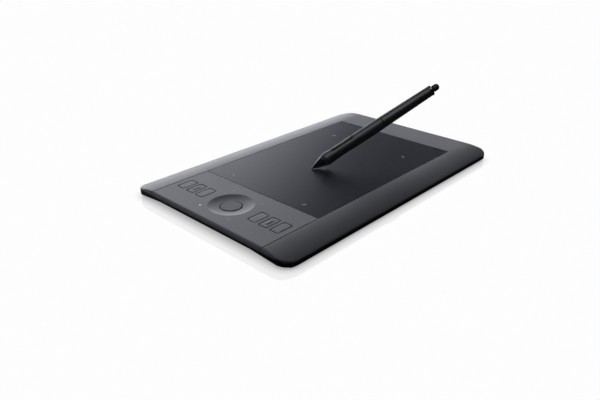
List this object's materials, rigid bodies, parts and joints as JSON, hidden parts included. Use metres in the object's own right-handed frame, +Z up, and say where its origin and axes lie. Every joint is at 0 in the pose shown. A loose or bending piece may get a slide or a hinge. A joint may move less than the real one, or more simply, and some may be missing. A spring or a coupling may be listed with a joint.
{
  "type": "pen drawing tablet",
  "caption": "Flat pen tablet with a dark drawing sheet, dished touch ring and shortcut keys at one end, and a cordless pen standing on its nib.",
  "frame": {"origin": "centre of the footprint on the table, at the underside of the feet", "axes": "+X to the right end, away from the control strip; +Y to the back edge; +Z up out of the drawing sheet"},
  "size_m": [0.32, 0.208, 0.0883],
  "materials": {
    "cover_plastic": "fine moulded texture, satin",
    "panel_plastic": "fine moulded texture, satin",
    "key_plastic": "fine moulded texture, satin",
    "sheet_film": "fine-grained matte drawing film",
    "case_plastic": "black moulded plastic",
    "foot_rubber": "matte rubber",
    "screw_steel": "blackened steel",
    "board_laminate": "green circuit laminate",
    "shield_steel": "plain sheet steel",
    "switch_metal": "pressed metal",
    "electrode_copper": "copper foil and wire",
    "light_pipe": "clear diffusing plastic",
    "light_chip": "moulded light chip",
    "socket_steel": "plated sheet steel",
    "battery_wrap": "shrink film",
    "module_plastic": "moulded plastic",
    "pen_gloss": "polished black plastic",
    "pen_rubber": "soft-touch rubber",
    "pen_barrel_plastic": "soft-touch lacquer",
    "rocker_plastic": "satin black plastic",
    "nib_plastic": "hard nib plastic",
    "eraser_plastic": "hard rubberised plastic",
    "ferrite": "sintered ferrite",
    "sensor_can": "pressed can",
    "pin_steel": "ground pin"
  },
  "bodies": {
    "tablet": {"top_cover": "cover_plastic", "control_panel": "panel_plastic", "drawing_sheet": "sheet_film", "bottom_case": "case_plastic", "feet": "foot_rubber", "case_screws": "screw_steel", "sensor_board": "board_laminate", "shield_plate": "shield_steel", "control_board": "board_laminate", "key_switches": "switch_metal", "board_screws": "screw_steel", "ring_sensor": "electrode_copper", "ring_light_pipes": "light_pipe", "ring_light_chips": "light_chip", "main_board": "board_laminate", "usb_socket": "socket_steel", "power_switch": "switch_metal", "battery_pack": "battery_wrap", "wireless_module": "module_plastic"},
    "key_1": {"key_1": "key_plastic"},
    "key_2": {"key_2": "key_plastic"},
    "key_3": {"key_3": "key_plastic"},
    "key_4": {"key_4": "key_plastic"},
    "key_5": {"key_5": "key_plastic"},
    "key_6": {"key_6": "key_plastic"},
    "ring_button": {"ring_button": "key_plastic"},
    "power_button": {"power_button": "case_plastic"},
    "bay_cover": {"bay_cover": "case_plastic"},
    "pen": {"pen_nose": "pen_gloss", "pen_grip": "pen_rubber", "pen_barrel": "pen_barrel_plastic", "pen_tail_ring": "pen_gloss", "pen_coil_core": "ferrite", "pen_coil_winding": "electrode_copper", "pen_pressure_sensor": "sensor_can", "pen_board": "board_laminate", "pen_rocker_switches": "switch_metal", "pen_rocker_pin": "pin_steel", "pen_eraser_sensor": "sensor_can"},
    "pen_nib": {"pen_nib": "nib_plastic"},
    "pen_rocker": {"pen_rocker": "rocker_plastic"},
    "pen_eraser": {"pen_eraser": "eraser_plastic"}
  },
  "joints": [
    {"name": "key_1_press", "type": "slide", "parent": "tablet", "child": "key_1", "axis": [0, 0, -1], "range_m": [0, 0.0005], "stiffness_N_per_m": 1200},
    {"name": "key_2_press", "type": "slide", "parent": "tablet", "child": "key_2", "axis": [0, 0, -1], "range_m": [0, 0.0005], "stiffness_N_per_m": 1200},
    {"name": "key_3_press", "type": "slide", "parent": "tablet", "child": "key_3", "axis": [0, 0, -1], "range_m": [0, 0.0005], "stiffness_N_per_m": 1200},
    {"name": "key_4_press", "type": "slide", "parent": "tablet", "child": "key_4", "axis": [0, 0, -1], "range_m": [0, 0.0005], "stiffness_N_per_m": 1200},
    {"name": "key_5_press", "type": "slide", "parent": "tablet", "child": "key_5", "axis": [0, 0, -1], "range_m": [0, 0.0005], "stiffness_N_per_m": 1200},
    {"name": "key_6_press", "type": "slide", "parent": "tablet", "child": "key_6", "axis": [0, 0, -1], "range_m": [0, 0.0005], "stiffness_N_per_m": 1200},
    {"name": "ring_button_press", "type": "slide", "parent": "tablet", "child": "ring_button", "axis": [0, 0, -1], "range_m": [0, 0.0005], "stiffness_N_per_m": 1200},
    {"name": "power_button_press", "type": "slide", "parent": "tablet", "child": "power_button", "axis": [-1, 0, 0], "range_m": [0, 0.0004], "stiffness_N_per_m": 1500},
    {"name": "bay_cover_slide", "type": "slide", "parent": "tablet", "child": "bay_cover", "axis": [0, 1, 0], "range_m": [0, 0.055]},
    {"name": "pen_lift", "type": "slide", "parent": "tablet", "child": "pen", "axis": [0.7796, -0.4145, 0.4695], "range_m": [0, 0.06]},
    {"name": "pen_nib_press", "type": "slide", "parent": "pen", "child": "pen_nib", "axis": [0.7796, -0.4145, 0.4695], "range_m": [0, 0.0005], "stiffness_N_per_m": 2000},
    {"name": "pen_eraser_press", "type": "slide", "parent": "pen", "child": "pen_eraser", "axis": [-0.7796, 0.4145, -0.4695], "range_m": [0, 0.0008], "stiffness_N_per_m": 1500},
    {"name": "pen_rocker_tilt", "type": "hinge", "parent": "pen", "child": "pen_rocker", "pos_m": [0.01264, -0.01464, 0.03532], "axis": [-0.4837, -0.8747, 0.0308], "range_deg": [-2, 2], "stiffness_Nm_per_rad": 0.05}
  ]
}
